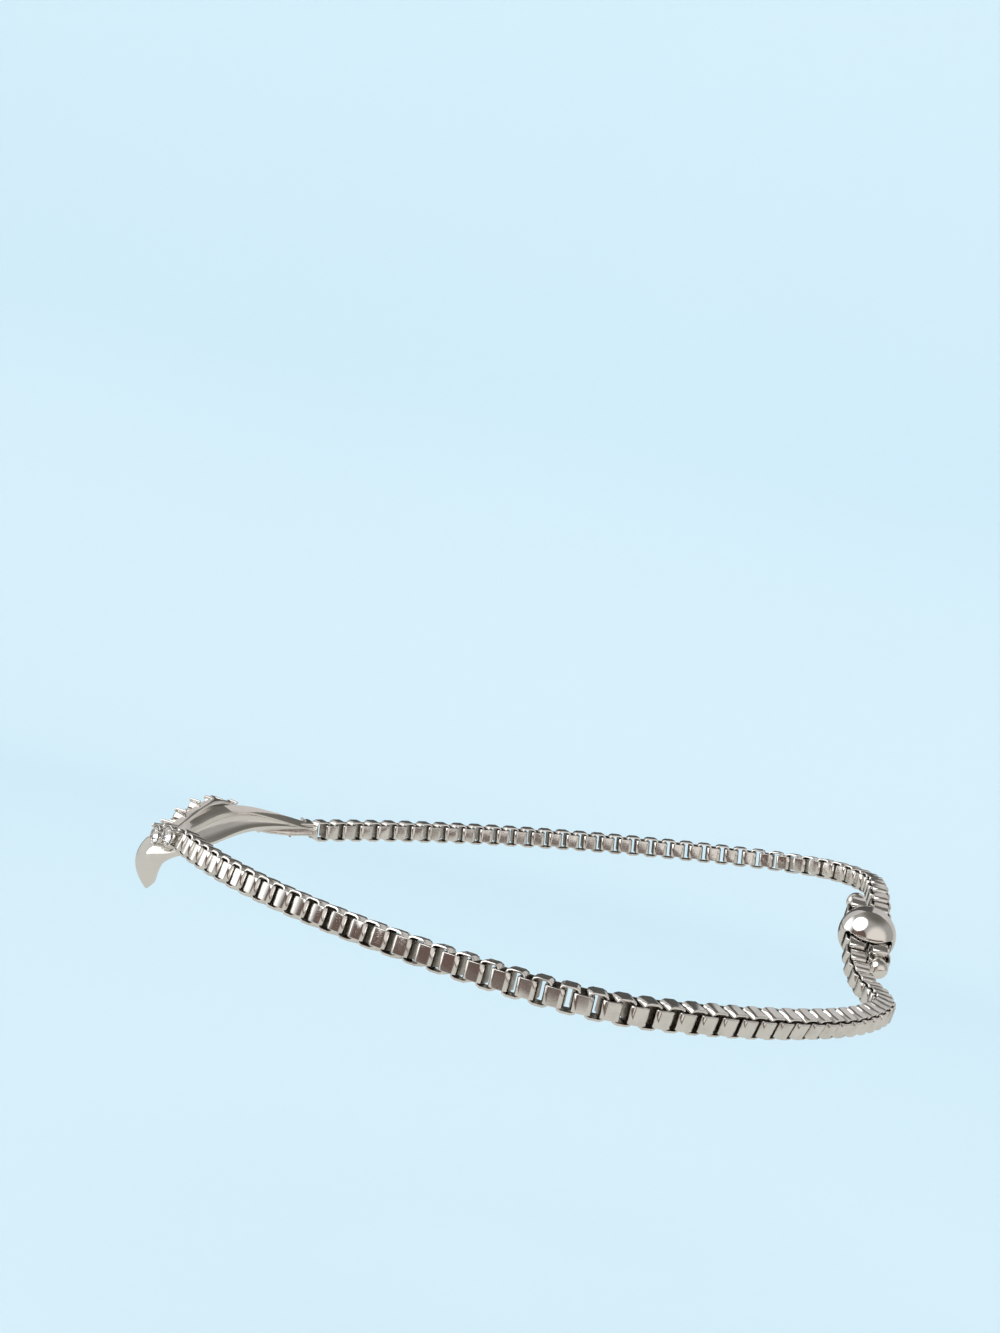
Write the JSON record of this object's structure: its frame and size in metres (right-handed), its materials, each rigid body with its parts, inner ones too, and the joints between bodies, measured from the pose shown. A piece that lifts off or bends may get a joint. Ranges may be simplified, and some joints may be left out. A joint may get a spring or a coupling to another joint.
{
  "type": "rhinestone slider bracelet",
  "caption": "Box-chain bracelet with a polished ribbon crossing a row of clear stones, closed by a sliding ball with stoppers.",
  "frame": {"origin": "middle of the worn loop, where the wrist's axis crosses the plane of the near chain", "axes": "+Z along the wrist's axis, the front piece with its stones towards -X, the slider towards +X"},
  "size_m": [0.0723, 0.068, 0.0145],
  "materials": {
    "chain_metal": "polished silver-tone plating",
    "polished_metal": "mirror-polished silver-tone plating",
    "stone": "clear faceted rhinestone"
  },
  "bodies": {
    "root": {"near_chain": "chain_metal", "far_chain": "chain_metal", "slider_ball": "polished_metal", "near_stopper": "polished_metal", "far_stopper": "polished_metal", "front_piece": "polished_metal", "stone_1": "stone", "stone_2": "stone", "stone_3": "stone", "stone_4": "stone", "stone_5": "stone", "stone_6": "stone", "stone_7": "stone", "stone_8": "stone", "stone_9": "stone", "stone_10": "stone", "stone_11": "stone"}
  },
  "joints": []
}
